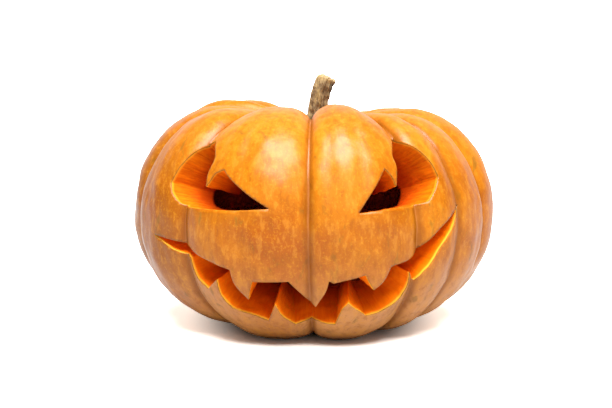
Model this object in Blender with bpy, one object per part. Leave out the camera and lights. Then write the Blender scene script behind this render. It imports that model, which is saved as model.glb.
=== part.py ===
"""Carved pumpkin lantern: a squat ribbed pumpkin, hollowed, with two eyes and a toothed mouth in its wall.

Metres, +Z up, the face towards -Y. Azimuths are degrees about the vertical axis, from -Y towards +X. The
pumpkin's meridians are quarter-ellipses whose size swells and shrinks from lobe to lobe, and every knife
cut is a ruled surface whose rulings aim at points near the axis.
"""

from math import asin, cos, pi, radians, sin

import bmesh
import bpy
import numpy as np
from mathutils import Vector
from mathutils.geometry import delaunay_2d_cdt

# The body's profile.
EQUATOR_Z = 0.0908
TOP_RING_R = 0.080  # radius of the ring of lobe crests round the stem
BASE_RING_R = 0.070  # radius of the ring that the lobes stand on
STEM_WELL_R = 0.010
STEM_WELL_Z = 0.1478
DIMPLE_Z = 0.0108  # height of the blossom scar

# The lobes, anticlockwise seen from above, from the one right of the face's middle groove. Each has the
# azimuth of the groove on its left, that groove's depth (1 is full), greatest radius, crest height, height
# of its underside (under 0 where the lobe's weight presses it flat on the ground), skew (under 1 leans the
# crest towards that groove), and the degrees that groove has drifted round when it reaches the underside.
LOBES = (
    (-2, 1.0, 0.1520, 0.1863, -0.0018, 0.86, 2.0),
    (33, 1.0, 0.1500, 0.1788, 0.0018, 1.0, 3.5),
    (50, 0.5, 0.1490, 0.1773, 0.0058, 1.0, 2.0),
    (71, 1.0, 0.1515, 0.1798, 0.0048, 1.0, 1.0),
    (103, 1.0, 0.1520, 0.1788, -0.0018, 1.0, -1.5),
    (133, 0.9, 0.1520, 0.1748, -0.0018, 1.0, 1.0),
    (158, 1.0, 0.1500, 0.1748, -0.0018, 1.0, 2.0),
    (184, 0.9, 0.1500, 0.1758, -0.0018, 1.0, -1.0),
    (212, 1.0, 0.1510, 0.1848, -0.0018, 1.0, 1.0),
    (236, 0.8, 0.1510, 0.1858, 0.0008, 1.0, -1.5),
    (257, 1.0, 0.1520, 0.1818, 0.0058, 1.0, 1.0),
    (285, 1.0, 0.1530, 0.1818, 0.0048, 1.0, -1.0),
    (316, 1.0, 0.1530, 0.1843, -0.0018, 1.0, 0.0),
)
GROOVE_IN = 0.010  # full groove depth at the equator
GROOVE_DOWN = 0.014  # and at the crests
GROOVE_UP = 0.008  # and underneath
GROOVE_SHARPNESS = 0.62  # under 1 rounds the lobes and sharpens the grooves
DRIFT_POWER = 1.5  # over 1 keeps most of the drift for low down

# The hollow inside, about 40 mm from the rind at the sides.
HOLLOW_R = 0.111
HOLLOW_RING_R = 0.050
HOLLOW_MID_Z = 0.090
HOLLOW_LOW_Z = 0.034
HOLLOW_HIGH_Z = 0.141
HOLLOW_CROWN_Z = 0.122  # the seed hollow's roof dips under the stem

# The knife cuts. Each outline is strokes of points, smooth within a stroke, with a corner between strokes.
# A point is (azimuth, height in mm) and aims at the axis, or its third number tells how many mm to the right
# of the axis it aims.
LEFT_EYE = (
    ((-13.2, 112.8), (-21.0, 124.6), (-27.0, 135.2), (-29.0, 139.9)),
    ((-29.0, 139.9), (-32.6, 136.0), (-35.0, 126.7)),
    ((-35.0, 126.7), (-35.6, 136.0), (-34.6, 148.0), (-37.9, 159.0)),
    ((-37.9, 159.0), (-45.6, 152.4), (-48.7, 141.5), (-51.0, 127.4)),
    ((-51.0, 127.4), (-49.0, 118.4), (-45.8, 111.6), (-42.2, 109.7)),
    ((-42.2, 109.7), (-28.0, 110.2), (-13.2, 112.8)),
)
RIGHT_EYE = (
    ((12.4, 109.8), (16.8, 124.8), (22.0, 141.3)),
    ((22.0, 141.3), (24.3, 135.4), (25.5, 128.0)),
    ((25.5, 128.0), (27.0, 142.0), (26.6, 150.4), (30.1, 160.8)),
    ((30.1, 160.8), (37.0, 155.2), (40.8, 144.4), (42.2, 132.6)),
    ((42.2, 132.6), (40.1, 124.4), (36.7, 115.3)),
    ((36.7, 115.3), (31.6, 111.9), (25.0, 112.1), (12.4, 109.8)),
)
MOUTH = (
    # the upper lip, from the left corner
    ((-56.2, 85.1), (-47.0, 82.1), (-42.6, 80.4)),
    ((-42.6, 80.4), (-35.9, 72.7), (-25.4, 65.5)),
    ((-25.4, 65.5), (-24.3, 53.4, -8), (-20.9, 42.0, -18)),
    ((-20.9, 42.0, -18), (-18.7, 57.1, -12)),
    ((-18.7, 57.1, -12), (-8.0, 57.8)),
    ((-8.0, 57.8), (-3.9, 46.3), (0.2, 35.8)),
    ((0.2, 35.8), (3.1, 48.4), (4.2, 57.9)),
    ((4.2, 57.9), (5.5, 56.2)),
    ((5.5, 56.2), (10.2, 59.3), (15.1, 62.1, -12)),
    ((15.1, 62.1, -12), (16.4, 56.1, -24), (18.1, 50.3, -30)),
    ((18.1, 50.3, -30), (20.7, 56.6, -18), (23.0, 67.7)),
    ((23.0, 67.7), (30.2, 72.6), (33.3, 79.8)),
    ((33.3, 79.8), (41.7, 96.7), (50.6, 109.6)),
    # the lower lip, back from the right corner
    ((50.6, 109.6), (45.9, 93.8), (40.2, 77.0), (34.0, 53.8)),
    ((34.0, 53.8), (30.5, 61.2)),
    ((30.5, 61.2), (31.1, 51.0, -16), (29.7, 40.6, -29)),
    ((29.7, 40.6, -29), (24.4, 30.9, -12), (17.7, 27.4, 8)),
    ((17.7, 27.4, 8), (13.4, 33.8, 20), (10.5, 39.7, 28)),
    ((10.5, 39.7, 28), (8.7, 32.6, 28), (7.5, 19.6, 27)),
    ((7.5, 19.6, 27), (4.2, 20.2, 14), (-0.9, 23.9)),
    ((-0.9, 23.9), (-4.2, 21.4, -12), (-7.2, 19.0, -22)),
    ((-7.2, 19.0, -22), (-10.8, 26.6, -16), (-12.6, 38.4, -11)),
    ((-12.6, 38.4, -11), (-14.6, 29.9, -9), (-16.6, 22.3, -6)),
    ((-16.6, 22.3, -6), (-22.4, 27.6, -13), (-28.1, 32.7, -20)),
    ((-28.1, 32.7, -20), (-30.7, 42.8, -15), (-31.0, 55.7, -10)),
    ((-31.0, 55.7, -10), (-35.8, 47.0)),
    ((-35.8, 47.0), (-40.0, 55.4), (-41.6, 70.4)),
    ((-41.6, 70.4), (-48.2, 74.8), (-56.2, 85.1)),
)
LEFT_EYE_AIM_Z = 0.0890  # heights that the cuts aim at
RIGHT_EYE_AIM_Z = 0.0860
MOUTH_AIM_Z = 0.0890
CUT_OUTER = 1.22  # how far a cutter reaches past the rind, as a share of the distance from the aim point
CUT_INNER = 0.55

# The stem: a bent ridged stalk, its root standing in the well with a small gap.
STEM_ROOT = Vector((0.0005, 0.0, 0.1481))
STEM_BEND = Vector((0.0007, 0.0, 0.1898))
STEM_END = Vector((0.0120, -0.0010, 0.2038))
STEM_R = 0.0074
STEM_ROOT_R = 0.0088
STEM_RIDGES = 5
STEM_RIDGE = 0.0007

RIND_COLOUR = (0.78, 0.30, 0.045)
FLESH_COLOUR = (0.90, 0.22, 0.01)
STEM_COLOUR = (0.33, 0.21, 0.09)

LOBE_STEP = 4.3  # degrees of azimuth between the body's columns, at most
BODY_ROWS = (3, 10, 10, 5)  # faces up the dimple, the lower side, the upper side and the well
HOLLOW_COLUMNS = 40
HOLLOW_ROWS = (3, 4, 4, 3)


def lobe_at(azimuth):
    """(index of the lobe that an azimuth is on, how far across it: 0 to 1)."""
    first = LOBES[0][0]
    turn = (azimuth - first) % 360
    starts = [lobe[0] - first for lobe in LOBES] + [360]
    i = max(k for k in range(len(LOBES)) if starts[k] <= turn)
    return i, (turn - starts[i]) / (starts[i + 1] - starts[i])


def meridian(azimuth):
    """(greatest radius, crest height, underside height) of the rind at an azimuth."""
    i, u = lobe_at(azimuth)
    lobe, left, right = LOBES[i], LOBES[i - 1], LOBES[(i + 1) % len(LOBES)]
    u = u ** lobe[5]
    swell = max(0.0, 1 - (2 * u - 1) ** 2) ** GROOVE_SHARPNESS
    blend = u * u * (3 - 2 * u)
    groove = (lobe[1] * (1 - blend) + right[1] * blend) * (1 - swell)
    neighbour = left if u < 0.5 else right
    middle = sin(pi * u)
    radius, crest, under = (
        (lobe[k] + neighbour[k]) / 2 * (1 - middle) + lobe[k] * middle for k in (2, 3, 4)
    )
    return radius - GROOVE_IN * groove, crest - GROOVE_DOWN * groove, under + GROOVE_UP * groove


def drifted(azimuth, down):
    """The azimuth that a meridian of a lobe has come to at a share down of the way to the underside."""
    i, u = lobe_at(azimuth)
    drift = LOBES[i][6] * (1 - u) + LOBES[(i + 1) % len(LOBES)][6] * u
    return azimuth + drift * max(0.0, min(down, 1.0)) ** DRIFT_POWER


def around(azimuth, radius, z):
    return Vector((radius * sin(radians(azimuth)), -radius * cos(radians(azimuth)), z))


def rind(azimuth, phi):
    """A point of the rind. phi is its profile angle: -180 dimple, -90 underside, 0 equator, 180 well."""
    radius, crest, under = meridian(azimuth)
    c, s = cos(radians(phi)), sin(radians(phi))
    if phi > 90:
        r, z = TOP_RING_R + (TOP_RING_R - STEM_WELL_R) * c, STEM_WELL_Z + (crest - STEM_WELL_Z) * s
    elif phi >= 0:
        r, z = TOP_RING_R + (radius - TOP_RING_R) * c, EQUATOR_Z + (crest - EQUATOR_Z) * s
    elif phi >= -90:
        r, z = BASE_RING_R + (radius - BASE_RING_R) * c, EQUATOR_Z + (EQUATOR_Z - under) * s
    else:
        r, z = BASE_RING_R + BASE_RING_R * c, DIMPLE_Z + (DIMPLE_Z - under) * s
    return around(drifted(azimuth, -phi / 90), r, max(z, 0.0))


def rind_at(azimuth, z):
    """The point of the rind's outer side at a height."""
    down = max(0.0, 1 - z / EQUATOR_Z)
    line = 2 * azimuth - drifted(azimuth, asin(down) / (pi / 2))
    radius, crest, under = meridian(line)
    if z > EQUATOR_Z:
        ring, s = TOP_RING_R, (z - EQUATOR_Z) / (crest - EQUATOR_Z)
    else:
        ring, s = BASE_RING_R, (EQUATOR_Z - z) / (EQUATOR_Z - under)
    return around(azimuth, ring + (radius - ring) * (1 - s * s) ** 0.5, z)


def hollow(azimuth, phi):
    """A point of the hollow's wall, with phi as for the rind."""
    c, s = cos(radians(phi)), sin(radians(phi))
    r = HOLLOW_RING_R + (HOLLOW_R - HOLLOW_RING_R if abs(phi) < 90 else HOLLOW_RING_R) * c
    if phi > 90:
        z = HOLLOW_CROWN_Z + (HOLLOW_HIGH_Z - HOLLOW_CROWN_Z) * s
    elif phi >= -90:
        z = HOLLOW_MID_Z + (HOLLOW_HIGH_Z - HOLLOW_MID_Z if s > 0 else HOLLOW_MID_Z - HOLLOW_LOW_Z) * s
    else:
        z = HOLLOW_LOW_Z
    return around(azimuth, r, z)


def new_object(name, mesh_data):
    mesh_data.normal_update()
    mesh = bpy.data.meshes.new(name)
    mesh_data.to_mesh(mesh)
    mesh_data.free()
    obj = bpy.data.objects.new(name, mesh)
    bpy.context.scene.collection.objects.link(obj)
    return obj


def lofted(name, surface, azimuths, rows):
    """A closed body from rings of surface(azimuth, phi), with a point at each pole."""
    phis = np.concatenate(
        [np.linspace(a, a + 90, n, endpoint=False) for a, n in zip((-180, -90, 0, 90), rows)]
    )
    phis = np.append(phis[1:], 180.0)
    data = bmesh.new()
    rings = [[data.verts.new(surface(a, phi)) for a in azimuths] for phi in phis]
    columns = len(azimuths)
    for low, high in zip(rings, rings[1:]):
        for i in range(columns):
            j = (i + 1) % columns
            data.faces.new((low[i], low[j], high[j], high[i]))
    bottom = data.verts.new((0, 0, surface(0, -180).z))
    top = data.verts.new((0, 0, surface(0, 180).z))
    for i in range(columns):
        j = (i + 1) % columns
        data.faces.new((rings[0][j], rings[0][i], bottom))
        data.faces.new((rings[-1][i], rings[-1][j], top))
    # Where the hollow's roof closes on the axis its last ring is a point already.
    bmesh.ops.remove_doubles(data, verts=data.verts, dist=0.0001)
    return new_object(name, data)


def smooth(stroke, steps):
    """Points along one knife stroke, without its last: a curve through its points (Catmull-Rom)."""
    points = [Vector(p).to_3d() for p in stroke]
    if len(points) == 2:
        return [points[0].lerp(points[1], k / steps) for k in range(steps)]
    ends = [2 * points[0] - points[1], *points, 2 * points[-1] - points[-2]]
    found = []
    for a, b, c, d in zip(ends, ends[1:], ends[2:], ends[3:]):
        for k in range(steps):
            t = k / steps
            square, cube = 2 * a - 5 * b + 4 * c - d, 3 * b - a - 3 * c + d
            found.append(0.5 * (2 * b + (c - a) * t + square * t**2 + cube * t**3))
    return found


def knife(name, strokes, aim_z, steps):
    """A cutter: the solid that an outline on the rind sweeps towards its aims, from outside to inside."""
    outline = [p for stroke in strokes for p in smooth(stroke, steps)]
    aims = [Vector((right / 1000, 0, aim_z)) for _, _, right in outline]
    arms = [rind_at(a, mm / 1000) - aim for (a, mm, _), aim in zip(outline, aims)]
    data = bmesh.new()
    outer = [data.verts.new(aim + CUT_OUTER * arm) for aim, arm in zip(aims, arms)]
    inner = [data.verts.new(aim + CUT_INNER * arm) for aim, arm in zip(aims, arms)]
    count = len(arms)
    for i in range(count):
        j = (i + 1) % count
        data.faces.new((outer[i], outer[j], inner[j], inner[i]))
    # Both ends are closed with the triangles of the outline unrolled flat.
    unrolled = [Vector((radians(a) * HOLLOW_R, mm / 1000)) for a, mm, _ in outline]
    _, _, triangles, origins, _, _ = delaunay_2d_cdt(unrolled, [], [list(range(count))], 1, 1e-7)
    for triangle in triangles:
        corners = [origins[v][0] for v in triangle]
        data.faces.new([outer[v] for v in corners])
        data.faces.new([inner[v] for v in reversed(corners)])
    bmesh.ops.recalc_face_normals(data, faces=data.faces)
    cutter = new_object(name, data)
    cutter.hide_render = True
    cutter.display_type = "WIRE"
    return cutter


def cut(body, cutter):
    modifier = body.modifiers.new(cutter.name, "BOOLEAN")
    modifier.operation = "DIFFERENCE"
    modifier.solver = "EXACT"
    modifier.material_mode = "TRANSFER"
    modifier.object = cutter


def stem(columns, rows):
    """A ridged stalk along the quadratic Bezier root, bend, end, cut square. Its origin is its root."""
    bend, end = STEM_BEND - STEM_ROOT, STEM_END - STEM_ROOT
    data = bmesh.new()
    rings = []
    for k in range(rows + 1):
        t = k / rows
        centre = bend * 2 * t * (1 - t) + end * t * t
        along = (2 * (1 - t) * bend + 2 * t * (end - bend)).normalized()
        side = Vector((0, 1, 0)).cross(along).normalized()
        front = along.cross(side)
        size = STEM_R + (STEM_ROOT_R - STEM_R) * (1 - t) ** 4
        ring = []
        for i in range(columns):
            turn = 2 * pi * i / columns
            r = size + STEM_RIDGE * cos(STEM_RIDGES * turn)
            ring.append(data.verts.new(centre + r * (cos(turn) * side + sin(turn) * front)))
        rings.append(ring)
    for low, high in zip(rings, rings[1:]):
        for i in range(columns):
            j = (i + 1) % columns
            data.faces.new((low[i], low[j], high[j], high[i]))
    data.faces.new(rings[0][::-1])
    data.faces.new(rings[-1])
    bmesh.ops.recalc_face_normals(data, faces=data.faces)
    return new_object("stem", data)


def material(name, colour, roughness):
    made = bpy.data.materials.new(name)
    made.use_nodes = True
    shader = made.node_tree.nodes["Principled BSDF"]
    shader.inputs["Base Color"].default_value = (*colour, 1)
    shader.inputs["Roughness"].default_value = roughness
    shader.inputs["Metallic"].default_value = 0.0
    return made


for old in list(bpy.data.objects):
    bpy.data.objects.remove(old)

# The whole pumpkin: columns run down every groove.
azimuths = []
for k, lobe in enumerate(LOBES):
    span = (LOBES[(k + 1) % len(LOBES)][0] - lobe[0]) % 360
    count = round(span / LOBE_STEP)
    azimuths += [lobe[0] + span * i / count for i in range(count)]
shell = lofted("shell", rind, azimuths, BODY_ROWS)
shell.data.shade_smooth()
shell.data.materials.append(material("rind", RIND_COLOUR, 0.45))
flesh = material("flesh", FLESH_COLOUR, 0.5)

# Hollowed out.
ring = [360 * i / HOLLOW_COLUMNS for i in range(HOLLOW_COLUMNS)]
hollow_cutter = lofted("hollow_cutter", hollow, ring, HOLLOW_ROWS)
hollow_cutter.hide_render = True
hollow_cutter.display_type = "WIRE"
hollow_cutter.data.materials.append(flesh)
cut(shell, hollow_cutter)

# The face.
for name, strokes, aim_z, steps in (
    ("left_eye_cutter", LEFT_EYE, LEFT_EYE_AIM_Z, 3),
    ("right_eye_cutter", RIGHT_EYE, RIGHT_EYE_AIM_Z, 3),
    ("mouth_cutter", MOUTH, MOUTH_AIM_Z, 2),
):
    cutter = knife(name, strokes, aim_z, steps)
    cutter.data.materials.append(flesh)
    cut(shell, cutter)

stalk = stem(24, 12)
stalk.data.materials.append(material("stem_bark", STEM_COLOUR, 0.75))
stalk.data.shade_smooth()
stalk.data.set_sharp_from_angle(angle=radians(50))
stalk.location = STEM_ROOT
stalk.parent = shell
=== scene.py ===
"""Looks of the carved pumpkin lantern: a hollowed ribbed pumpkin with two eyes and a toothed mouth cut
through its thick wall, and the stalk it grew on.

Metres, +Z up, the face towards -Y. Azimuths are degrees about the vertical axis, from -Y towards +X.
"""

import bpy
import numpy as np
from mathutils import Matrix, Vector, kdtree
from mathutils.geometry import delaunay_2d_cdt


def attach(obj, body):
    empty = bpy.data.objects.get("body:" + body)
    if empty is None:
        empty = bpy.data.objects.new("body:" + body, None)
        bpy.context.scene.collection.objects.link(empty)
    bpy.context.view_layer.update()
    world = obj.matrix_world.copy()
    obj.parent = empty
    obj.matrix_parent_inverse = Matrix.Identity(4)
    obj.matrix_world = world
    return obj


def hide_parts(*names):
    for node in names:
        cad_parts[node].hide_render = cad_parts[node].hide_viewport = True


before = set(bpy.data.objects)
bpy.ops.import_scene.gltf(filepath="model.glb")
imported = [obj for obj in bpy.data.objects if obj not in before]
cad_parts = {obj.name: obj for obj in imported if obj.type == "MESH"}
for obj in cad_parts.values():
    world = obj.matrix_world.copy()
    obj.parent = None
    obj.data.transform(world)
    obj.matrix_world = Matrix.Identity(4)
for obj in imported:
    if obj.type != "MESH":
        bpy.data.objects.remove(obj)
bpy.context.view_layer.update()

# --------------------------------------------------------------------------------------------------------
# Pumpkin body: rind, flesh and hollow as one closed skin. Each meridian is four quarter-ellipses (dimple,
# lower side, upper side, stem well) whose size swells and shrinks from lobe to lobe. The eyes and the mouth
# are knife cuts, each a ruled surface from an outline on the rind towards the axis, ending on the hollow's
# wall.

EQUATOR_Z = 0.0908
TOP_RING_R = 0.080  # where the lobes are highest
BASE_RING_R = 0.070  # and lowest
STEM_WELL_R = 0.010
STEM_WELL_Z = 0.1478
DIMPLE_Z = 0.0108

# Each lobe: azimuth of the groove on its left, that groove's depth, greatest radius, crest height, height
# of its underside, skew, and the degrees that groove has drifted round when it reaches the underside.
LOBES = np.array((
    (-2, 1.0, 0.1520, 0.1863, -0.0018, 0.86, 2.0),
    (33, 1.0, 0.1500, 0.1788, 0.0018, 1.0, 3.5),
    (50, 0.5, 0.1490, 0.1773, 0.0058, 1.0, 2.0),
    (71, 1.0, 0.1515, 0.1798, 0.0048, 1.0, 1.0),
    (103, 1.0, 0.1520, 0.1788, -0.0018, 1.0, -1.5),
    (133, 0.9, 0.1520, 0.1748, -0.0018, 1.0, 1.0),
    (158, 1.0, 0.1500, 0.1748, -0.0018, 1.0, 2.0),
    (184, 0.9, 0.1500, 0.1758, -0.0018, 1.0, -1.0),
    (212, 1.0, 0.1510, 0.1848, -0.0018, 1.0, 1.0),
    (236, 0.8, 0.1510, 0.1858, 0.0008, 1.0, -1.5),
    (257, 1.0, 0.1520, 0.1818, 0.0058, 1.0, 1.0),
    (285, 1.0, 0.1530, 0.1818, 0.0048, 1.0, -1.0),
    (316, 1.0, 0.1530, 0.1843, -0.0018, 1.0, 0.0),
))
GROOVE_IN = 0.010  # full groove depth at the equator
GROOVE_DOWN = 0.014  # at the crests
GROOVE_UP = 0.008  # and underneath
GROOVE_SHARPNESS = 0.62  # under 1 rounds the lobes and sharpens the grooves
DRIFT_POWER = 1.5  # over 1 keeps most of the drift for low down

# Shallow furrows within the lobes: azimuth, depth, half-width in degrees.
FURROWS = (
    (-22.0, 0.0009, 3.0), (-33.0, 0.0005, 2.5), (4.8, 0.0007, 2.2), (14.5, 0.0009, 2.6), (24.0, 0.0005, 2.2),
    (41.0, 0.0004, 2.0), (62.0, 0.0006, 2.5), (88.0, 0.0008, 3.0), (116.0, 0.0007, 3.0), (145.0, 0.0006, 2.5),
    (172.0, 0.0007, 2.5), (-162.0, 0.0007, 3.0), (-136.0, 0.0006, 2.5), (-112.0, 0.0006, 2.5),
    (-86.0, 0.0008, 3.0), (-62.0, 0.0008, 3.0), (-53.0, 0.0004, 2.0),
)

HOLLOW_R = 0.111
HOLLOW_RING_R = 0.050
HOLLOW_MID_Z = 0.090
HOLLOW_LOW_Z = 0.034
HOLLOW_HIGH_Z = 0.141
HOLLOW_CROWN_Z = 0.122

# The knife cuts' outlines, as strokes of (azimuth, height in mm) or (azimuth, height, mm to the right of
# the axis that it aims): smooth within a stroke, with a corner between strokes.
LEFT_EYE = (
    ((-13.2, 112.8), (-21.0, 124.6), (-27.0, 135.2), (-29.0, 139.9)),
    ((-29.0, 139.9), (-32.6, 136.0), (-35.0, 126.7)),
    ((-35.0, 126.7), (-35.6, 136.0), (-34.6, 148.0), (-37.9, 159.0)),
    ((-37.9, 159.0), (-45.6, 152.4), (-48.7, 141.5), (-51.0, 127.4)),
    ((-51.0, 127.4), (-49.0, 118.4), (-45.8, 111.6), (-42.2, 109.7)),
    ((-42.2, 109.7), (-28.0, 110.2), (-13.2, 112.8)),
)
RIGHT_EYE = (
    ((12.4, 109.8), (16.8, 124.8), (22.0, 141.3)),
    ((22.0, 141.3), (24.3, 135.4), (25.5, 128.0)),
    ((25.5, 128.0), (27.0, 142.0), (26.6, 150.4), (30.1, 160.8)),
    ((30.1, 160.8), (37.0, 155.2), (40.8, 144.4), (42.2, 132.6)),
    ((42.2, 132.6), (40.1, 124.4), (36.7, 115.3)),
    ((36.7, 115.3), (31.6, 111.9), (25.0, 112.1), (12.4, 109.8)),
)
MOUTH = (
    # the upper lip, from the left corner
    ((-56.2, 85.1), (-47.0, 82.1), (-42.6, 80.4)),
    ((-42.6, 80.4), (-35.9, 72.7), (-25.4, 65.5)),
    ((-25.4, 65.5), (-24.3, 53.4, -8), (-20.9, 42.0, -18)),
    ((-20.9, 42.0, -18), (-18.7, 57.1, -12)),
    ((-18.7, 57.1, -12), (-8.0, 57.8)),
    ((-8.0, 57.8), (-3.9, 46.3), (0.2, 35.8)),
    ((0.2, 35.8), (3.1, 48.4), (4.2, 57.9)),
    ((4.2, 57.9), (5.5, 56.2)),
    ((5.5, 56.2), (10.2, 59.3), (15.1, 62.1, -12)),
    ((15.1, 62.1, -12), (16.4, 56.1, -24), (18.1, 50.3, -30)),
    ((18.1, 50.3, -30), (20.7, 56.6, -18), (23.0, 67.7)),
    ((23.0, 67.7), (30.2, 72.6), (33.3, 79.8)),
    ((33.3, 79.8), (41.7, 96.7), (50.6, 109.6)),
    # the lower lip, back from the right corner
    ((50.6, 109.6), (45.9, 93.8), (40.2, 77.0), (34.0, 53.8)),
    ((34.0, 53.8), (30.5, 61.2)),
    ((30.5, 61.2), (31.1, 51.0, -16), (29.7, 40.6, -29)),
    ((29.7, 40.6, -29), (24.4, 30.9, -12), (17.7, 27.4, 8)),
    ((17.7, 27.4, 8), (13.4, 33.8, 20), (10.5, 39.7, 28)),
    ((10.5, 39.7, 28), (8.7, 32.6, 28), (7.5, 19.6, 27)),
    ((7.5, 19.6, 27), (4.2, 20.2, 14), (-0.9, 23.9)),
    ((-0.9, 23.9), (-4.2, 21.4, -12), (-7.2, 19.0, -22)),
    ((-7.2, 19.0, -22), (-10.8, 26.6, -16), (-12.6, 38.4, -11)),
    ((-12.6, 38.4, -11), (-14.6, 29.9, -9), (-16.6, 22.3, -6)),
    ((-16.6, 22.3, -6), (-22.4, 27.6, -13), (-28.1, 32.7, -20)),
    ((-28.1, 32.7, -20), (-30.7, 42.8, -15), (-31.0, 55.7, -10)),
    ((-31.0, 55.7, -10), (-35.8, 47.0)),
    ((-35.8, 47.0), (-40.0, 55.4), (-41.6, 70.4)),
    ((-41.6, 70.4), (-48.2, 74.8), (-56.2, 85.1)),
)
LEFT_EYE_AIM_Z = 0.0890  # heights that the cuts aim at
RIGHT_EYE_AIM_Z = 0.0860
MOUTH_AIM_Z = 0.0890
EDGE_STEP = 0.0012  # spacing of the points along the outlines
CUT_ROWS = np.concatenate(((0, 0.008, 0.02, 0.04, 0.07, 0.11, 0.16), np.linspace(0.22, 1, 14)))


def lobe_at(azimuth):
    """Index of the lobe each azimuth is on, and how far across it, 0 to 1."""
    starts = np.append(LOBES[:, 0] - LOBES[0, 0], 360)
    turn = np.mod(azimuth - LOBES[0, 0], 360)
    i = np.clip(np.searchsorted(starts, turn, side="right") - 1, 0, len(LOBES) - 1)
    return i, (turn - starts[i]) / (starts[i + 1] - starts[i])


def meridian(azimuth):
    """Greatest radius, crest height and underside height of the rind at each azimuth."""
    i, u = lobe_at(azimuth)
    lobe, left, right = LOBES[i], LOBES[i - 1], LOBES[(i + 1) % len(LOBES)]
    u = u ** lobe[..., 5]
    swell = np.clip(1 - (2 * u - 1) ** 2, 0, 1) ** GROOVE_SHARPNESS
    blend = u * u * (3 - 2 * u)
    groove = (lobe[..., 1] * (1 - blend) + right[..., 1] * blend) * (1 - swell)
    neighbour = np.where((u < 0.5)[..., None], left, right)
    middle = np.sin(np.pi * u)[..., None]
    size = (lobe + neighbour) / 2 * (1 - middle) + lobe * middle
    radius, crest, under = size[..., 2], size[..., 3], size[..., 4]
    return radius - GROOVE_IN * groove, crest - GROOVE_DOWN * groove, under + GROOVE_UP * groove


def drift(azimuth, down):
    """Degrees that a lobe's meridian has turned at a share down of the way to the underside: the mean of
    its two grooves' drifts, weighted across the lobe, times the share to a power."""
    i, u = lobe_at(azimuth)
    whole = LOBES[i, 6] * (1 - u) + LOBES[(i + 1) % len(LOBES), 6] * u
    return whole * np.clip(down, 0, 1) ** DRIFT_POWER


def around(azimuth, radius, z):
    turn = np.radians(azimuth)
    return np.stack((radius * np.sin(turn), -radius * np.cos(turn), z + 0 * radius), -1)


def wobble(points, size, seed):
    """Smooth noise about 1 high: a sum of plane sine waves of about the given length, in fixed random
    directions."""
    rng = np.random.default_rng(seed)
    total = 0
    for _ in range(9):
        way = rng.normal(size=3)
        way *= 2 * np.pi * rng.uniform(0.7, 1.4) / (size * np.linalg.norm(way))
        total = total + np.sin(points @ way + rng.uniform(0, 2 * np.pi))
    return total / 3


def rind(azimuth, phi):
    """Points of the rind. phi is the profile angle: -180 the dimple's middle, 0 the equator, 180 the stem's
    well."""
    radius, crest, under = meridian(azimuth)
    c, s = np.cos(np.radians(phi)), np.sin(np.radians(phi))
    r = np.where(
        phi > 90,
        TOP_RING_R + (TOP_RING_R - STEM_WELL_R) * c,
        np.where(
            phi >= 0,
            TOP_RING_R + (radius - TOP_RING_R) * c,
            BASE_RING_R + np.where(phi >= -90, radius - BASE_RING_R, BASE_RING_R) * c,
        ),
    )
    z = np.where(
        phi > 90,
        STEM_WELL_Z + (crest - STEM_WELL_Z) * s,
        np.where(
            phi >= 0,
            EQUATOR_Z + (crest - EQUATOR_Z) * s,
            np.where(phi >= -90, EQUATOR_Z + (EQUATOR_Z - under) * s, DIMPLE_Z + (DIMPLE_Z - under) * s),
        ),
    )
    points = around(azimuth + drift(azimuth, -phi / 90), r, z)
    away = points - (0, 0, EQUATOR_Z)
    away /= np.linalg.norm(away, axis=-1, keepdims=True)
    push = 0.0007 * wobble(points, 0.075, 1) + 0.0003 * wobble(points, 0.026, 2)
    push = push + 0.0001 * wobble(points, 0.010, 3)
    for at, depth, width in FURROWS:
        off = (azimuth - at + 180) % 360 - 180
        push = push - depth * np.exp(-((off / width) ** 2)) * np.clip(np.cos(np.radians(phi)) + 0.35, 0, 1)
    push = push * np.clip((z - 0.002) / 0.012, 0, 1) * np.clip((r - 0.008) / 0.02, 0, 1)
    points = points + away * push[..., None]
    points[..., 2] = np.maximum(points[..., 2], 0)
    return points


def hollow_reach(aim, edge):
    """Share of the way from each aim to each edge point at which the line meets the hollow's wall, where
    the side ellipse's equation passes 1: found by halving."""
    low, high = np.full(len(edge), 0.3), np.ones(len(edge))
    for _ in range(40):
        share = (low + high) / 2
        x, y, z = (aim + (edge - aim) * share[:, None]).T
        rise = z - HOLLOW_MID_Z
        half = np.where(rise > 0, HOLLOW_HIGH_Z - HOLLOW_MID_Z, HOLLOW_MID_Z - HOLLOW_LOW_Z)
        out = ((np.hypot(x, y) - HOLLOW_RING_R) / (HOLLOW_R - HOLLOW_RING_R)) ** 2 + (rise / half) ** 2 > 1
        low, high = np.where(out, low, share), np.where(out, share, high)
    return share


def hollow(azimuth, phi):
    """Points of the hollow's wall, with phi as for the rind."""
    c, s = np.cos(np.radians(phi)), np.sin(np.radians(phi))
    r = HOLLOW_RING_R + np.where(np.abs(phi) < 90, HOLLOW_R - HOLLOW_RING_R, HOLLOW_RING_R) * c
    side = HOLLOW_MID_Z + np.where(s > 0, HOLLOW_HIGH_Z - HOLLOW_MID_Z, HOLLOW_MID_Z - HOLLOW_LOW_Z) * s
    roof = HOLLOW_CROWN_Z + (HOLLOW_HIGH_Z - HOLLOW_CROWN_Z) * s
    return around(azimuth, r, np.where(phi > 90, roof, np.where(phi >= -90, side, HOLLOW_LOW_Z)))


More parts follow.
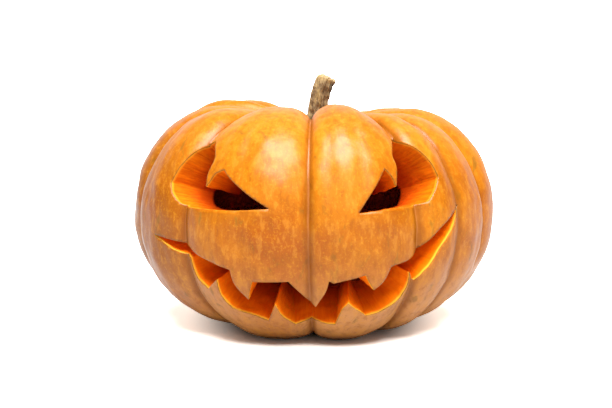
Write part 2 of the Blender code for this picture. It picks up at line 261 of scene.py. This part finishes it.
def outline(strokes):
    """The (azimuth, profile angle, aim) points of a closed outline, evenly spaced along each stroke,
    anticlockwise. The strokes are Catmull-Rom curves, and the azimuth is the undrifted one."""
    found = []
    for stroke in strokes:
        p = np.array([(*point, 0)[:3] for point in stroke], float)
        if len(p) == 2:
            fine = p[0] + np.linspace(0, 1, 41)[:, None] * (p[1] - p[0])
        else:
            ends = np.concatenate((2 * p[:1] - p[1:2], p, 2 * p[-1:] - p[-2:-1]))
            t = np.linspace(0, 1, 40, endpoint=False)[:, None]
            pieces = [
                b + (c - a) * t / 2
                + (2 * a - 5 * b + 4 * c - d) * t**2 / 2
                + (3 * b - a - 3 * c + d) * t**3 / 2
                for a, b, c, d in zip(ends, ends[1:], ends[2:], ends[3:])
            ]
            fine = np.concatenate((*pieces, p[-1:]))
        azimuth, rise, aim = fine[:, 0], fine[:, 1] / 1000 - EQUATOR_Z, fine[:, 2] / 1000
        azimuth = azimuth - drift(azimuth, np.arcsin(np.clip(-rise / EQUATOR_Z, 0, 1)) * 2 / np.pi)
        radius, crest, under = meridian(azimuth)
        phi = np.degrees(np.arcsin(rise / np.where(rise > 0, crest - EQUATOR_Z, EQUATOR_Z - under)))
        along = np.append(0, np.cumsum(np.linalg.norm(np.diff(rind(azimuth, phi), axis=0), axis=1)))
        count = max(2, round(along[-1] / EDGE_STEP))
        at = np.linspace(0, along[-1], count, endpoint=False)
        found.append(np.stack([np.interp(at, along, column) for column in (azimuth, phi, aim)], -1))
    loop = np.concatenate(found)
    after = np.roll(loop, -1, axis=0)
    turn = (loop[:, 0] * after[:, 1] - after[:, 0] * loop[:, 1]).sum()
    return loop if turn > 0 else loop[::-1]


def inside(points, loops):
    """Whether each 2-D point is inside one of the closed loops: an even-odd count of the edges to its
    right."""
    odd = np.zeros(len(points), bool)
    x, y = points.T
    for loop in loops:
        for (ax, ay), (bx, by) in zip(loop, np.roll(loop, -1, axis=0)):
            if ay != by:
                odd ^= ((ay > y) != (by > y)) & (x < ax + (bx - ax) * (y - ay) / (by - ay))
    return odd


def holed_sheet(azimuths, phis, loops, scale, clear):
    """Faces of a grid wrapped round the axis, with holes inside the loops. The vertices are the grid's,
    column by column, and then the loops' own. Around the holes the grid's points and the loops' are joined
    by a Delaunay triangulation, on (azimuth, profile angle) times scale, without the points nearer a loop
    than clear."""
    columns, rows = len(azimuths), len(phis)
    every = np.concatenate(loops)
    # The patch that is triangulated reaches a few cells beyond the loops.
    i0, i1 = np.searchsorted(azimuths, (every[:, 0].min(), every[:, 0].max())) + (-3, 2)
    j0, j1 = np.searchsorted(phis, (every[:, 1].min(), every[:, 1].max())) + (-3, 2)
    i, j = np.meshgrid(np.arange(columns), np.arange(rows - 1), indexing="ij")
    plain = ~((i >= i0) & (i < i1) & (j >= j0) & (j < j1))
    i, j = i[plain], j[plain]
    k = (i + 1) % columns
    quads = np.stack((i * rows + j, k * rows + j, k * rows + j + 1, i * rows + j + 1), -1)

    i, j = (a.ravel() for a in np.meshgrid(np.arange(i0, i1 + 1), np.arange(j0, j1 + 1), indexing="ij"))
    flat = np.stack((azimuths[i], phis[j]), -1) * scale
    loops = [loop * scale for loop in loops]
    edge = np.concatenate(loops)
    tree = kdtree.KDTree(len(edge))
    for n, (x, y) in enumerate(edge):
        tree.insert((x, y, 0), n)
    tree.balance()
    rim = (i == i0) | (i == i1) | (j == j0) | (j == j1)
    far = np.array([tree.find((x, y, 0))[2] > clear for x, y in flat])
    kept = rim | (far & ~inside(flat, loops))
    points = np.concatenate((flat[kept], edge))
    names = np.concatenate(((i * rows + j)[kept], columns * rows + np.arange(len(edge))))
    start = kept.sum()
    bars = []
    for loop in loops:
        bars += [(start + n, start + (n + 1) % len(loop)) for n in range(len(loop))]
        start += len(loop)
    _, _, faces, origins, _, _ = delaunay_2d_cdt([Vector(p) for p in points], bars, [], 0, 1e-9)
    triangles = np.array([[origins[v][0] for v in face] for face in faces])
    triangles = triangles[~inside(points[triangles].mean(1), loops)]
    return quads, names[triangles]


def pole(ring, tip, flip):
    """The fan of triangles that closes a ring of vertices on its tip."""
    after = np.roll(ring, -1)
    a, b = (after, ring) if flip else (ring, after)
    return np.stack((a, b, np.full(len(ring), tip)), -1)


def make_mesh(name, points, faces, slots, sharp=()):
    """A mesh object from arrays of faces, each array with its material slot. sharp lists vertex loops that
    stay creased."""
    mesh = bpy.data.meshes.new(name)
    mesh.from_pydata(points.tolist(), [], [face for array in faces for face in array.tolist()])
    index = np.concatenate([np.full(len(array), slot) for array, slot in zip(faces, slots)])
    mesh.polygons.foreach_set("material_index", index.astype(np.int32))
    mesh.polygons.foreach_set("use_smooth", np.ones(len(index), bool))
    if len(sharp):
        pairs = np.sort(np.concatenate([np.stack((loop, np.roll(loop, -1)), -1) for loop in sharp]), axis=1)
        ends = np.empty(len(mesh.edges) * 2, np.int32)
        mesh.edges.foreach_get("vertices", ends)
        ends = np.sort(ends.reshape(-1, 2), axis=1)
        creased = np.isin(ends[:, 0] * len(points) + ends[:, 1], pairs[:, 0] * len(points) + pairs[:, 1])
        mesh.attributes.new("sharp_edge", "BOOLEAN", "EDGE").data.foreach_set("value", creased)
    mesh.update()
    obj = bpy.data.objects.new(name, mesh)
    bpy.context.scene.collection.objects.link(obj)
    return obj


outlines = [outline(strokes) for strokes in (LEFT_EYE, RIGHT_EYE, MOUTH)]
loops = [points[:, :2] for points in outlines]

# The rind: finer columns on the carved side.
rind_azimuths = np.concatenate((
    np.linspace(-180, -68, 84, endpoint=False), np.linspace(-68, 66, 224, endpoint=False),
    np.linspace(66, 180, 86, endpoint=False),
))
rind_phis = np.concatenate((
    np.linspace(-180, -90, 15)[1:-1], np.linspace(-90, 90, 121), np.linspace(90, 180, 29)[1:],
))
grid_a, grid_p = (a.ravel() for a in np.meshgrid(rind_azimuths, rind_phis, indexing="ij"))
rind_points = rind(grid_a, grid_p)
edge_loops = [rind(loop[:, 0], loop[:, 1]) for loop in loops]
RIND_SCALE = np.radians((0.148, 0.086))  # metres to a degree round the rind, and up it
RIND_CLEAR = 0.0008  # grid points nearer to a cut's edge than this are left out
rind_quads, rind_triangles = holed_sheet(rind_azimuths, rind_phis, loops, RIND_SCALE, RIND_CLEAR)

# The cut faces: rows from the rind to the hollow, on straight lines towards each point's aim.
cut_points, cut_quads, cut_depths, inner_loops, inner_angles = [], [], [], [], []
for points, edge, aim_z in zip(outlines, edge_loops, (LEFT_EYE_AIM_Z, RIGHT_EYE_AIM_Z, MOUTH_AIM_Z)):
    aim = points[:, 2:] * (1, 0, 0) + (0, 0, aim_z)
    wall = aim + (edge - aim) * hollow_reach(aim, edge)[:, None]
    across = np.cross(np.roll(edge, -1, axis=0) - np.roll(edge, 1, axis=0), wall - edge)
    across /= np.linalg.norm(across, axis=1, keepdims=True)
    grid = edge[:, None] + (wall - edge)[:, None] * CUT_ROWS[None, :, None]
    waves = 0.0003 * wobble(grid, 0.012, 5) + 0.0002 * wobble(grid, 0.005, 6)
    grid = grid + across[:, None] * (waves * np.sin(np.pi * CUT_ROWS) ** 0.5)[..., None]
    cut_points.append(grid)
    cut_depths.append(np.linalg.norm(wall - edge, axis=1)[:, None] * CUT_ROWS)
    inner_loops.append(wall)
    r = np.hypot(wall[:, 0], wall[:, 1])
    side = np.sign(wall[:, 2] - HOLLOW_MID_Z)
    lean = np.degrees(np.arccos(np.clip((r - HOLLOW_RING_R) / (HOLLOW_R - HOLLOW_RING_R), -1, 1)))
    inner_angles.append(np.stack((np.degrees(np.arctan2(wall[:, 0], -wall[:, 1])), side * lean), -1))

# The hollow's wall.
hollow_azimuths = np.linspace(-180, 180, 120, endpoint=False)
hollow_phis = np.linspace(-180, 180, 61)[1:-1]
grid_a, grid_p = (a.ravel() for a in np.meshgrid(hollow_azimuths, hollow_phis, indexing="ij"))
hollow_points = hollow(grid_a, grid_p)
HOLLOW_SCALE = np.radians((0.10, 0.055))
HOLLOW_CLEAR = 0.0015
hollow_quads, hollow_triangles = holed_sheet(
    hollow_azimuths, hollow_phis, inner_angles, HOLLOW_SCALE, HOLLOW_CLEAR
)

# Everything in one list of vertices: rind grid, outlines, inner rows of the cuts, hollow grid, poles.
points = [rind_points, *edge_loops]
depth = [np.zeros(len(rind_points) + sum(len(loop) for loop in loops))]
count = len(rind_points)
starts = []
for edge in edge_loops:
    starts.append(count)
    count += len(edge)
inner_names = []
rims = []
for start, grid, deep in zip(starts, cut_points, cut_depths):
    along, rows = grid.shape[:2]
    table = np.empty((along, rows), int)
    table[:, 0] = start + np.arange(along)
    table[:, 1:] = count + np.arange(along * (rows - 1)).reshape(along, rows - 1)
    points.append(grid[:, 1:].reshape(-1, 3))
    depth.append(deep[:, 1:].ravel())
    count += along * (rows - 1)
    after = np.roll(table, -1, axis=0)
    cut_quads.append(np.stack((table[:, :-1], after[:, :-1], after[:, 1:], table[:, 1:]), -1).reshape(-1, 4))
    inner_names.append(table[:, -1])
    rims += [table[:, 0], table[:, -1]]
hollow_start = count
points.append(hollow_points)
WALL = 0.04  # thickness of the wall, taken as the depth of the whole hollow
POLES = 4  # the points that close rind and hollow, top and bottom
depth.append(np.full(len(hollow_points) + POLES, WALL))
count += len(hollow_points)
renamed = np.concatenate((hollow_start + np.arange(len(hollow_points)), *inner_names))
rows = len(rind_phis)
rind_low = np.arange(len(rind_azimuths)) * rows
hollow_low = hollow_start + np.arange(len(hollow_azimuths)) * len(hollow_phis)
points.append(np.array((
    (0, 0, DIMPLE_Z), (0, 0, STEM_WELL_Z), (0, 0, HOLLOW_LOW_Z), (0, 0, HOLLOW_CROWN_Z),
)))
body = make_mesh(
    "pumpkin_body",
    np.concatenate(points),
    (
        rind_quads, rind_triangles, pole(rind_low, count, True), pole(rind_low + rows - 1, count + 1, False),
        *cut_quads,
        renamed[hollow_quads][:, ::-1], renamed[hollow_triangles][:, ::-1],
        pole(hollow_low, count + 2, False), pole(hollow_low + len(hollow_phis) - 1, count + 3, True),
    ),
    (0, 0, 0, 0, 1, 1, 1, 2, 2, 2, 2),
    rims,
)
body.data.attributes.new("depth", "FLOAT", "POINT").data.foreach_set("value", np.concatenate(depth))

# For the line in each groove: the sine and the cosine of the way across the lobe, the sine scaled to metres
# from the groove. Both run smoothly from lobe to lobe.
GROOVE_LINE_R = 0.14  # radius at which a lobe's angle is turned into a width
lobe, share = lobe_at(np.concatenate((np.repeat(rind_azimuths, rows), *(loop[:, 0] for loop in loops))))
lobe_width = np.radians(np.diff(np.append(LOBES[:, 0], LOBES[0, 0] + 360)))[lobe] * GROOVE_LINE_R
phase = np.zeros((count + POLES, 3))
phase[:, 1] = -1
phase[:len(share), 0] = np.sin(2 * np.pi * share) * lobe_width / (2 * np.pi)
phase[:len(share), 1] = np.cos(2 * np.pi * share)
body.data.attributes.new("lobe", "FLOAT_VECTOR", "POINT").data.foreach_set("vector", phase.ravel())
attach(body, "root")
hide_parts("shell")


class Nodes:
    """A short way to write a node tree: each method adds a node and returns its output socket."""

    def __init__(self, tree):
        self.tree = tree

    def add(self, kind, inputs=(), output=0, **settings):
        node = self.tree.nodes.new(kind)
        for key, value in settings.items():
            setattr(node, key, value)
        for key, value in dict(inputs).items():
            if isinstance(value, bpy.types.NodeSocket):
                self.tree.links.new(value, node.inputs[key])
            else:
                node.inputs[key].default_value = value
        return node.outputs[output]

    def maths(self, operation, a, b=0.0, c=0.0, clamp=False):
        return self.add("ShaderNodeMath", {0: a, 1: b, 2: c}, operation=operation, use_clamp=clamp)

    def vector(self, operation, a, b=(0, 0, 0), output=0):
        return self.add("ShaderNodeVectorMath", {0: a, 1: b}, output, operation=operation)

    def scaled(self, a, factor):
        return self.add("ShaderNodeVectorMath", {0: a, "Scale": factor}, operation="SCALE")

    def noise(self, where, scale, detail=3.0, roughness=0.5, distortion=0.0):
        return self.add(
            "ShaderNodeTexNoise",
            {
                "Vector": where, "Scale": scale, "Detail": detail, "Roughness": roughness,
                "Distortion": distortion,
            },
        )

    def ramp(self, value, low, high, to_low=0.0, to_high=1.0):
        return self.add(
            "ShaderNodeMapRange",
            {"Value": value, "From Min": low, "From Max": high, "To Min": to_low, "To Max": to_high},
            interpolation_type="SMOOTHSTEP",
        )

    def mix(self, factor, a, b, blend="MIX"):
        node = self.tree.nodes.new("ShaderNodeMix")
        node.data_type = "RGBA"
        node.blend_type = blend
        for socket, value in zip((node.inputs[0], node.inputs[6], node.inputs[7]), (factor, a, b)):
            if isinstance(value, bpy.types.NodeSocket):
                self.tree.links.new(value, socket)
            elif isinstance(value, (int, float)):
                socket.default_value = value
            else:
                socket.default_value = (*value, 1)
        return node.outputs[2]


def material(name, **fixed):
    """A new material's node writer and its Principled BSDF, with the sockets that are constant set by
    name."""
    made = bpy.data.materials.new(name)
    made.use_nodes = True
    shader = made.node_tree.nodes["Principled BSDF"]
    for key, value in fixed.items():
        shader.inputs[key.replace("_", " ")].default_value = value
    return made, Nodes(made.node_tree), shader


# Rind: ochre to deep orange, mottled, with pale and brown blotches and thin streaks along the meridians,
# and a few olive spots. Painted light: lighter towards the top, and a paler pinkish brown low down for the
# light bounced from the floor. Painted shade: browner on the left flank and darker in the grooves. The
# grooves are redder and darker still round the stem, with a faint pale line. The gloss is satin and waxy.
STREAK_R = 0.15  # radius of the form that streaks are drawn on
rind_material, n, shader = material("pumpkin_rind", IOR=1.45)
shader.inputs["Specular IOR Level"].default_value = 0.27
place = n.add("ShaderNodeTexCoord", output=3)
x, y, z = (n.add("ShaderNodeSeparateXYZ", {0: place}, i) for i in range(3))
flat = n.add("ShaderNodeCombineXYZ", {0: x, 1: y, 2: 0.0})
wrapped = n.scaled(n.vector("NORMALIZE", flat), STREAK_R)


def drawn_out(share):
    """A place on the rind with its heights shrunk to a share, so that noise is stretched along the
    meridians."""
    height = n.maths("MULTIPLY", z, share)
    return n.vector("ADD", wrapped, n.add("ShaderNodeCombineXYZ", {0: 0.0, 1: 0.0, 2: height}))


mottle = n.noise(place, 26.0, 5.0, 0.62, 0.6)
patches = n.noise(place, 11.0, 2.0, 0.5, 0.3)
tall = n.vector("MULTIPLY", place, (1.0, 1.0, 0.4))
blotches = n.noise(tall, 210.0, 5.0, 0.66)
streaks = n.noise(drawn_out(0.14), 230.0, 4.0, 0.6)
speckle = n.noise(place, 520.0, 3.0, 0.7)
colour = n.mix(n.ramp(mottle, 0.36, 0.66), (0.29, 0.066, 0.0006), (0.38, 0.112, 0.0015))
colour = n.mix(n.ramp(patches, 0.42, 0.70, 0.0, 0.45), colour, (0.44, 0.135, 0.001))
# Painted light: the rind is lighter towards the top, as if lit from above.
colour = n.mix(n.ramp(z, 0.115, 0.155, 0.0, 0.30), colour, (0.60, 0.210, 0.008))
# Painted light: a paler pinkish brown low down stands in for light bounced from the floor.
low = n.maths("MULTIPLY", n.ramp(z, 0.085, 0.020), n.ramp(patches, 0.30, 0.62, 0.45, 1.0))
colour = n.mix(low, colour, (0.47, 0.195, 0.054))
# Painted shade: the left flank is darkened towards brown, as if in shade.
left_painted_shade = n.maths("MULTIPLY", n.ramp(x, -0.075, -0.130), n.ramp(patches, 0.30, 0.60, 0.35, 0.75))
colour = n.mix(left_painted_shade, colour, (0.20, 0.058, 0.004))
colour = n.mix(n.ramp(blotches, 0.51, 0.63, 0.0, 0.36), colour, (0.52, 0.205, 0.018))
colour = n.mix(n.ramp(blotches, 0.49, 0.35, 0.0, 0.44), colour, (0.24, 0.062, 0.0020))
colour = n.mix(n.ramp(streaks, 0.52, 0.75, 0.0, 0.12), colour, (0.54, 0.210, 0.015))
colour = n.mix(n.ramp(streaks, 0.48, 0.30, 0.0, 0.18), colour, (0.23, 0.046, 0.0005))
colour = n.mix(n.ramp(speckle, 0.52, 0.68, 0.0, 0.30), colour, (0.58, 0.250, 0.012))
spots = n.ramp(n.noise(tall, 95.0, 3.0, 0.6, 0.4), 0.60, 0.72, 0.0, 0.55)
colour = n.mix(spots, colour, (0.15, 0.075, 0.006))
lobe = n.add("ShaderNodeAttribute", output=1, attribute_name="lobe")
groove_x, groove_y = (n.add("ShaderNodeSeparateXYZ", {0: lobe}, i) for i in range(2))
off = n.maths("ABSOLUTE", n.maths("ADD", groove_x, n.maths("MULTIPLY_ADD", mottle, 0.003, -0.0015)))
groove = n.ramp(groove_y, 0.0, 0.5)
# Painted shade: the rind is darkened along each groove, where shade falls in the crease.
painted_groove_shade = n.maths("MULTIPLY", n.ramp(off, 0.0065, 0.0008, 0.0, 0.68), groove)
colour = n.mix(painted_groove_shade, colour, (0.19, 0.048, 0.001))
crown = n.ramp(n.vector("LENGTH", flat, output=1), 0.046, 0.016, 0.0, 0.75)
colour = n.mix(n.maths("MULTIPLY", crown, groove), colour, (0.17, 0.034, 0.002))
# A faint pale line along each groove, fading out near the top.
pale_groove_line = n.maths("MULTIPLY", n.ramp(off, 0.0010, 0.0003), n.ramp(patches, 0.3, 0.6, 0.03, 0.26))
pale_groove_line = n.maths("MULTIPLY", n.maths("MULTIPLY", pale_groove_line, groove), n.ramp(z, 0.172, 0.155))
colour = n.mix(pale_groove_line, colour, (0.48, 0.19, 0.075))
n.tree.links.new(colour, shader.inputs["Base Color"])
n.tree.links.new(n.ramp(mottle, 0.3, 0.7, 0.29, 0.40), shader.inputs["Roughness"])
bump = n.maths("ADD", n.maths("MULTIPLY", mottle, 0.6), n.maths("MULTIPLY", speckle, 0.18))
bump = n.maths("ADD", bump, n.maths("MULTIPLY", streaks, 0.25))
n.tree.links.new(
    n.add("ShaderNodeBump", {"Height": bump, "Distance": 0.0009, "Strength": 0.5}), shader.inputs["Normal"]
)

# Flesh on the cut faces: wet saturated orange, painted brighter low down at the mouth and darker at the eyes
# as light and shade, streaked by the knife from rind to hollow, with a yellow band and a thin olive line just
# under the rind. Painted shade darkens it with depth towards the hollow.
flesh_material, n, shader = material("pumpkin_flesh", Roughness=0.42, IOR=1.4)
shader.inputs["Specular IOR Level"].default_value = 0.3
place = n.add("ShaderNodeTexCoord", output=3)
from_aim = n.vector("SUBTRACT", place, (0, 0, MOUTH_AIM_Z))
way = n.vector("NORMALIZE", from_aim)
far = n.vector("LENGTH", from_aim, output=1)
FIBRE_SHARE = 0.12  # lengths along a fibre are shrunk to this share
fibre_place = n.vector("ADD", n.scaled(way, STREAK_R), n.scaled(way, n.maths("MULTIPLY", far, FIBRE_SHARE)))
fibres = n.noise(fibre_place, 420.0, 4.0, 0.62)
broad = n.noise(fibre_place, 90.0, 3.0, 0.5)
grain = n.noise(place, 380.0, 3.0, 0.6)
depth_in = n.add("ShaderNodeAttribute", output=2, attribute_name="depth")
high = n.ramp(n.add("ShaderNodeSeparateXYZ", {0: place}, 2), 0.085, 0.105)
# Painted light and shade: one flesh, brighter at the mouth and darker at the eyes, by height.
mouth_flesh_painted_lit = n.mix(n.ramp(fibres, 0.25, 0.75), (0.82, 0.150, 0.001), (0.94, 0.225, 0.002))
eye_flesh_painted_shaded = n.mix(n.ramp(fibres, 0.32, 0.68), (0.48, 0.082, 0.001), (0.70, 0.165, 0.002))
colour = n.mix(high, mouth_flesh_painted_lit, eye_flesh_painted_shaded)
colour = n.mix(n.ramp(broad, 0.35, 0.68, 0.0, 0.4), colour, (0.86, 0.180, 0.001))
# Painted shade: the flesh darkens to deep red with depth from the rind, as the cut recedes into shadow.
colour = n.mix(n.ramp(depth_in, 0.006, 0.040, 0.0, 0.88), colour, (0.42, 0.026, 0.0005))
from_rim = n.maths("ADD", depth_in, n.maths("MULTIPLY_ADD", n.noise(place, 150.0, 2.0), -0.0012, 0.0006))
band = n.ramp(from_rim, 0.0034, 0.0014, 0.0, 0.9)
band = n.maths("MULTIPLY", band, n.maths("SUBTRACT", 1.0, n.maths("MULTIPLY", high, 0.5)))
colour = n.mix(band, colour, (0.90, 0.45, 0.035))
colour = n.mix(n.ramp(from_rim, 0.0010, 0.0004, 0.0, 0.9), colour, (0.15, 0.105, 0.016))
n.tree.links.new(colour, shader.inputs["Base Color"])
bump = n.maths("ADD", n.maths("MULTIPLY", fibres, 0.6), n.maths("MULTIPLY", grain, 0.25))
n.tree.links.new(
    n.add("ShaderNodeBump", {"Height": bump, "Distance": 0.0008, "Strength": 0.5}), shader.inputs["Normal"]
)

# The hollow's wall: scraped flesh, stringy, and painted a darker, deeper red than the cut faces as shade
# inside the hollow.
hollow_material, n, shader = material("pumpkin_hollow", Roughness=0.6, IOR=1.4)
place = n.add("ShaderNodeTexCoord", output=3)
strings = n.noise(place, 60.0, 5.0, 0.7, 1.5)
colour = n.mix(n.ramp(strings, 0.35, 0.65), (0.30, 0.015, 0.0003), (0.50, 0.035, 0.0006))
n.tree.links.new(colour, shader.inputs["Base Color"])
n.tree.links.new(
    n.add("ShaderNodeBump", {"Height": strings, "Distance": 0.003, "Strength": 0.8}), shader.inputs["Normal"]
)
for made in (rind_material, flesh_material, hollow_material):
    body.data.materials.append(made)

# --------------------------------------------------------------------------------------------------------
# Stem: the stalk that grows from the crown, five-ribbed and bent. It is dry and corky, its end is worn
# round and paler, with a hollow split into one side that is painted near black as its shade, and its root
# flares into the well between the lobes.

STEM_ROOT = np.array((0.0005, 0.0, 0.1481))
STEM_BEND = np.array((0.0007, 0.0, 0.1898))
STEM_END = np.array((0.0116, -0.0010, 0.2048))
STEM_SPLIT = np.array((0.0147, -0.0036, 0.1970))
STEM_SPLIT_TURN = -0.5  # the way round to the split, in radians
STEM_SPLIT_ALONG = 0.9  # and the share of the way up to it
STEM_SPLIT_DEEP = 0.0012
STEM_R = 0.0073
STEM_FLARE = 0.0032  # added at the root
STEM_TWIST = 0.5  # radians, from root to end
STEM_LIFT = 0.20  # how far the end is tipped back towards level
STEM_COLUMNS = 96
STEM_ROWS = 90

t = np.linspace(0, 1, STEM_ROWS)[:, None]
centre = STEM_ROOT * (1 - t) ** 2 + STEM_BEND * 2 * t * (1 - t) + STEM_END * t * t
along = 2 * (1 - t) * (STEM_BEND - STEM_ROOT) + 2 * t * (STEM_END - STEM_BEND)
along /= np.linalg.norm(along, axis=1, keepdims=True)
side = np.cross((0, 1, 0), along)
side /= np.linalg.norm(side, axis=1, keepdims=True)
front = np.cross(along, side)
turn = np.linspace(0, 2 * np.pi, STEM_COLUMNS, endpoint=False)[None]
twist = turn + STEM_TWIST * t
ribs = 0.0008 * np.cos(5 * twist + 0.4) + 0.00035 * np.cos(11 * twist + 1.3) + 0.0002 * np.cos(23 * twist)
size = STEM_R + STEM_FLARE * (1 - t) ** 6 + 0.0008 * t**4 - 0.0010 * t**16 + ribs
from_split = (turn - STEM_SPLIT_TURN + np.pi) % (2 * np.pi) - np.pi
size = size - STEM_SPLIT_DEEP * np.exp(-((from_split / 0.26) ** 2) - ((t - STEM_SPLIT_ALONG) / 0.09) ** 2)
ring = centre[:, None] + size[..., None] * (
    np.cos(turn)[..., None] * side[:, None] + np.sin(turn)[..., None] * front[:, None]
)
ring = ring + 0.0003 * wobble(ring, 0.007, 11)[..., None] * (ring - centre[:, None]) / 0.0075
# The end leans back towards level, so its right side is lifted.
lift = STEM_LIFT * size * np.cos(turn) * t**9
ring = ring + lift[..., None] * along[:, None]
# The cut end: a worn rim, and a rough domed face.
lid = [centre[-1] + (ring[-1] - centre[-1]) * share + along[-1] * rise for share, rise in (
    (0.97, 0.0005), (0.90, 0.0010), (0.78, 0.0014), (0.6, 0.0015), (0.4, 0.0013), (0.2, 0.0011),
)]
lid = [shape + along[-1] * (0.0005 * wobble(shape, 0.004, 12))[:, None] for shape in lid]
stem_rings = np.concatenate((ring, np.array(lid)))
rows = len(stem_rings)
columns = np.arange(STEM_COLUMNS)
low, high = np.arange(rows - 1)[:, None] * STEM_COLUMNS, np.arange(1, rows)[:, None] * STEM_COLUMNS
i, k = columns[None], (columns + 1)[None] % STEM_COLUMNS
stem_quads = np.stack((low + i, low + k, high + k, high + i), -1).reshape(-1, 4)
ends = np.array((centre[0], centre[-1] + along[-1] * 0.0010))
total = rows * STEM_COLUMNS
bark = STEM_ROWS * STEM_COLUMNS
stem = make_mesh(
    "pumpkin_stem",
    np.concatenate((stem_rings.reshape(-1, 3), ends)),
    (
        stem_quads[:bark], stem_quads[bark:],
        pole(columns, total, True), pole(total - STEM_COLUMNS + columns, total + 1, False),
    ),
    (0, 1, 0, 1),
)
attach(stem, "root")
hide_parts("stem")

stem_material, n, shader = material("pumpkin_stem_bark", Roughness=0.75, IOR=1.45)
place = n.add("ShaderNodeTexCoord", output=3)
long_place = n.vector("MULTIPLY", place, (1.0, 1.0, 0.18))
fibres = n.noise(long_place, 700.0, 4.0, 0.65)
blotches = n.noise(place, 180.0, 4.0, 0.6)
colour = n.mix(n.ramp(fibres, 0.30, 0.72), (0.085, 0.047, 0.018), (0.28, 0.18, 0.080))
colour = n.mix(n.ramp(blotches, 0.45, 0.68, 0.0, 0.7), colour, (0.38, 0.26, 0.12))
colour = n.mix(n.ramp(blotches, 0.42, 0.28, 0.0, 0.6), colour, (0.08, 0.046, 0.02))
stripes = n.noise(long_place, 330.0, 3.0, 0.6)
colour = n.mix(n.ramp(stripes, 0.54, 0.66, 0.0, 0.5), colour, (0.40, 0.27, 0.085))
colour = n.mix(n.ramp(stripes, 0.45, 0.34, 0.0, 0.5), colour, (0.10, 0.062, 0.020))
root = n.ramp(n.add("ShaderNodeSeparateXYZ", {0: place}, 2), 0.180, 0.168, 0.0, 0.65)
colour = n.mix(root, colour, (0.075, 0.058, 0.026))
worn = n.ramp(n.add("ShaderNodeSeparateXYZ", {0: place}, 2), 0.2000, 0.2070, 0.0, 0.5)
colour = n.mix(worn, colour, (0.46, 0.31, 0.12))
# Painted shade: the shallow split is coloured near black, as the shade inside a deep crack.
from_split = n.vector("MULTIPLY", n.vector("SUBTRACT", place, tuple(STEM_SPLIT)), (1.5, 1.0, 0.7))
split_painted_shade = n.ramp(n.vector("LENGTH", from_split, output=1), 0.0055, 0.0022, 0.0, 0.9)
colour = n.mix(split_painted_shade, colour, (0.030, 0.022, 0.012))
n.tree.links.new(colour, shader.inputs["Base Color"])
bump = n.maths("ADD", fibres, n.maths("MULTIPLY", blotches, 0.8))
n.tree.links.new(
    n.add("ShaderNodeBump", {"Height": bump, "Distance": 0.0012, "Strength": 0.9}), shader.inputs["Normal"]
)
end_material, n, shader = material("pumpkin_stem_end", Roughness=0.8, IOR=1.45)
place = n.add("ShaderNodeTexCoord", output=3)
pits = n.noise(place, 520.0, 4.0, 0.7)
colour = n.mix(n.ramp(pits, 0.35, 0.62), (0.20, 0.11, 0.04), (0.50, 0.35, 0.18))
n.tree.links.new(colour, shader.inputs["Base Color"])
n.tree.links.new(
    n.add("ShaderNodeBump", {"Height": pits, "Distance": 0.0015, "Strength": 0.9}), shader.inputs["Normal"]
)
for made in (stem_material, end_material):
    stem.data.materials.append(made)

# --------------------------------------------------------------------------------------------------------
# Stage: a white floor, a white world behind the object with a dimmer fill in front, one broad soft light
# above the front, and the camera. To the camera alone, the floor is brighter than the light it gives back, and
# it glows outside the contact area, so the shadow that is seen is partly painted.

FLOOR_HALF = 9.0
FLOOR_BOUNCE = (0.54, 0.54, 0.54)  # the floor's colour to the light that it gives back
FLOOR_SEEN = (1.25, 1.22, 1.18)  # and to the camera
CONTACT_SHRINK = (1.3, 0.62, 1.0)  # turns the oval contact area into a circle
FILL_FROM = (0.25, -0.95, -0.19)
SUN_FROM = (0.06, -0.44, 1.0)
CAMERA_DOWN = 7.09  # degrees below level

floor_mesh = bpy.data.meshes.new("floor")
corners = [(x * FLOOR_HALF, y * FLOOR_HALF, 0) for x, y in ((-1, -1), (1, -1), (1, 1), (-1, 1))]
floor_mesh.from_pydata(corners, [], [(0, 1, 2, 3)])
floor = bpy.data.objects.new("floor", floor_mesh)
bpy.context.scene.collection.objects.link(floor)
floor_material, n, shader = material("floor_white", Roughness=0.9)
shader.inputs["Specular IOR Level"].default_value = 0.0
shader.inputs["Emission Color"].default_value = (1, 0.86, 0.75, 1)
place = n.add("ShaderNodeTexCoord", output=3)
from_middle = n.vector("LENGTH", n.vector("MULTIPLY", place, CONTACT_SHRINK), output=1)
contact = n.ramp(from_middle, 0.078, 0.150, 0.0, 0.80)
seen = n.add("ShaderNodeLightPath")
n.tree.links.new(n.maths("MULTIPLY", contact, seen), shader.inputs["Emission Strength"])
n.tree.links.new(n.mix(seen, FLOOR_BOUNCE, FLOOR_SEEN), shader.inputs["Base Color"])
floor_mesh.materials.append(floor_material)

world = bpy.data.worlds.new("studio")
world.use_nodes = True
n = Nodes(world.node_tree)
way = n.add("ShaderNodeTexCoord")
behind = n.ramp(n.vector("DOT_PRODUCT", way, (0, 1, 0), output=1), 0.3, 0.85)
fill = n.ramp(n.vector("DOT_PRODUCT", way, FILL_FROM, output=1), 0.3, 0.95, 0.12, 0.65)
background = world.node_tree.nodes["Background"]
background.inputs["Color"].default_value = (1, 1, 1, 1)
n.tree.links.new(n.maths("ADD", behind, fill), background.inputs["Strength"])
bpy.context.scene.world = world

sun_data = bpy.data.lights.new("overhead", "SUN")
sun_data.energy = 9.9
sun_data.angle = np.radians(44)
sun = bpy.data.objects.new("overhead", sun_data)
sun.rotation_euler = Vector(SUN_FROM).to_track_quat("Z", "Y").to_euler()
bpy.context.scene.collection.objects.link(sun)

camera_data = bpy.data.cameras.new("camera")
camera_data.sensor_width = 36
camera_data.lens = 76.65
camera = bpy.data.objects.new("camera", camera_data)
camera.location = (-0.00675, -1.1, 0.2353)
camera.rotation_euler = (np.radians(90 - CAMERA_DOWN), 0, 0)
bpy.context.scene.collection.objects.link(camera)
bpy.context.scene.camera = camera
bpy.context.scene.view_settings.view_transform = "Standard"
